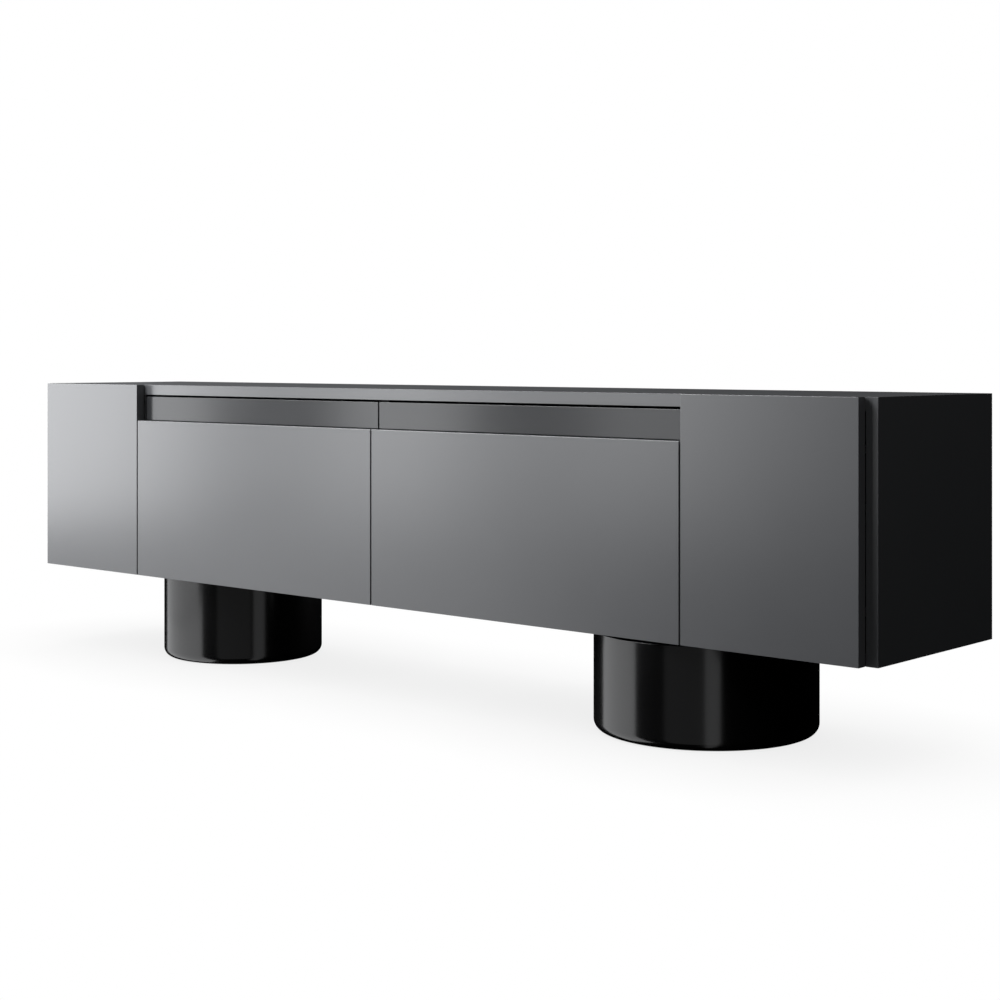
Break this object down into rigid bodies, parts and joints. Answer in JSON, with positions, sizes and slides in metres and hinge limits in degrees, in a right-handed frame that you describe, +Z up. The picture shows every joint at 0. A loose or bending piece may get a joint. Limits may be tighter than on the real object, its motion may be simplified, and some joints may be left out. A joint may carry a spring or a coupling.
{
  "type": "dresser with drawers",
  "caption": "Long low handle-less dresser on round drum feet, with hinged end doors, deep drawers and slim drawers in a shadow channel under the top.",
  "frame": {"origin": "centre of the overall box on the floor", "axes": "+X along the width, to the right when the fronts are faced; the fronts face -Y; +Z up"},
  "size_m": [2, 0.372, 0.55],
  "materials": {
    "graphite_lacquer": "satin graphite lacquer",
    "channel_lacquer": "satin lacquer, darker than the fronts",
    "black_gloss_lacquer": "high gloss black lacquer",
    "dark_board": "matt dark grey faced board",
    "zinc_steel": "zinc plated",
    "grey_plastic": "moulded"
  },
  "bodies": {
    "carcass": {"top_panel": "graphite_lacquer", "bottom_panel": "dark_board", "side_panel_left": "graphite_lacquer", "side_panel_right": "graphite_lacquer", "back_panel": "dark_board", "partition_left": "dark_board", "partition_centre": "dark_board", "partition_right": "dark_board", "divider_left": "dark_board", "divider_right": "dark_board", "shelf_left": "dark_board", "shelf_right": "dark_board", "foot_plate_left": "zinc_steel", "foot_plate_right": "zinc_steel", "drum_foot_left": "black_gloss_lacquer", "drum_foot_right": "black_gloss_lacquer", "hinge_arm_left_lower": "zinc_steel", "hinge_arm_left_upper": "zinc_steel", "latch_housing_left": "grey_plastic", "runner_rail_left_inner": "zinc_steel", "runner_rail_left_outer": "zinc_steel", "hinge_arm_right_lower": "zinc_steel", "hinge_arm_right_upper": "zinc_steel", "latch_housing_right": "grey_plastic", "runner_rail_right_inner": "zinc_steel", "runner_rail_right_outer": "zinc_steel"},
    "door_left": {"door_left": "graphite_lacquer", "hinge_cup_left_lower": "zinc_steel", "hinge_cup_left_upper": "zinc_steel"},
    "deep_drawer_left": {"deep_drawer_left_face": "graphite_lacquer", "deep_drawer_left_front": "dark_board", "deep_drawer_left_side_inner": "dark_board", "deep_drawer_left_side_outer": "dark_board", "deep_drawer_left_back": "dark_board", "deep_drawer_left_bottom": "dark_board", "runner_slide_left_inner": "zinc_steel", "runner_slide_left_outer": "zinc_steel"},
    "slim_drawer_left": {"slim_drawer_left_front": "channel_lacquer", "slim_drawer_left_side_inner": "dark_board", "slim_drawer_left_side_outer": "dark_board", "slim_drawer_left_back": "dark_board", "slim_drawer_left_bottom": "dark_board"},
    "latch_plunger_left": {"latch_plunger_left": "grey_plastic"},
    "door_right": {"door_right": "graphite_lacquer", "hinge_cup_right_lower": "zinc_steel", "hinge_cup_right_upper": "zinc_steel"},
    "deep_drawer_right": {"deep_drawer_right_face": "graphite_lacquer", "deep_drawer_right_front": "dark_board", "deep_drawer_right_side_inner": "dark_board", "deep_drawer_right_side_outer": "dark_board", "deep_drawer_right_back": "dark_board", "deep_drawer_right_bottom": "dark_board", "runner_slide_right_inner": "zinc_steel", "runner_slide_right_outer": "zinc_steel"},
    "slim_drawer_right": {"slim_drawer_right_front": "channel_lacquer", "slim_drawer_right_side_inner": "dark_board", "slim_drawer_right_side_outer": "dark_board", "slim_drawer_right_back": "dark_board", "slim_drawer_right_bottom": "dark_board"},
    "latch_plunger_right": {"latch_plunger_right": "grey_plastic"}
  },
  "joints": [
    {"name": "door_left_hinge", "type": "hinge", "parent": "carcass", "child": "door_left", "pos_m": [-0.977, -0.183, 0.167], "axis": [0, 0, -1], "range_deg": [0, 95]},
    {"name": "deep_drawer_left_slide", "type": "slide", "parent": "carcass", "child": "deep_drawer_left", "axis": [0, -1, 0], "range_m": [0, 0.2]},
    {"name": "slim_drawer_left_slide", "type": "slide", "parent": "carcass", "child": "slim_drawer_left", "axis": [0, -1, 0], "range_m": [0, 0.18]},
    {"name": "latch_left_slide", "type": "slide", "parent": "carcass", "child": "latch_plunger_left", "axis": [0, 1, 0], "range_m": [0, 0.0015], "stiffness_N_per_m": 150},
    {"name": "door_right_hinge", "type": "hinge", "parent": "carcass", "child": "door_right", "pos_m": [0.977, -0.183, 0.167], "axis": [0, 0, 1], "range_deg": [0, 95]},
    {"name": "deep_drawer_right_slide", "type": "slide", "parent": "carcass", "child": "deep_drawer_right", "axis": [0, -1, 0], "range_m": [0, 0.2]},
    {"name": "slim_drawer_right_slide", "type": "slide", "parent": "carcass", "child": "slim_drawer_right", "axis": [0, -1, 0], "range_m": [0, 0.18]},
    {"name": "latch_right_slide", "type": "slide", "parent": "carcass", "child": "latch_plunger_right", "axis": [0, 1, 0], "range_m": [0, 0.0015], "stiffness_N_per_m": 150}
  ]
}
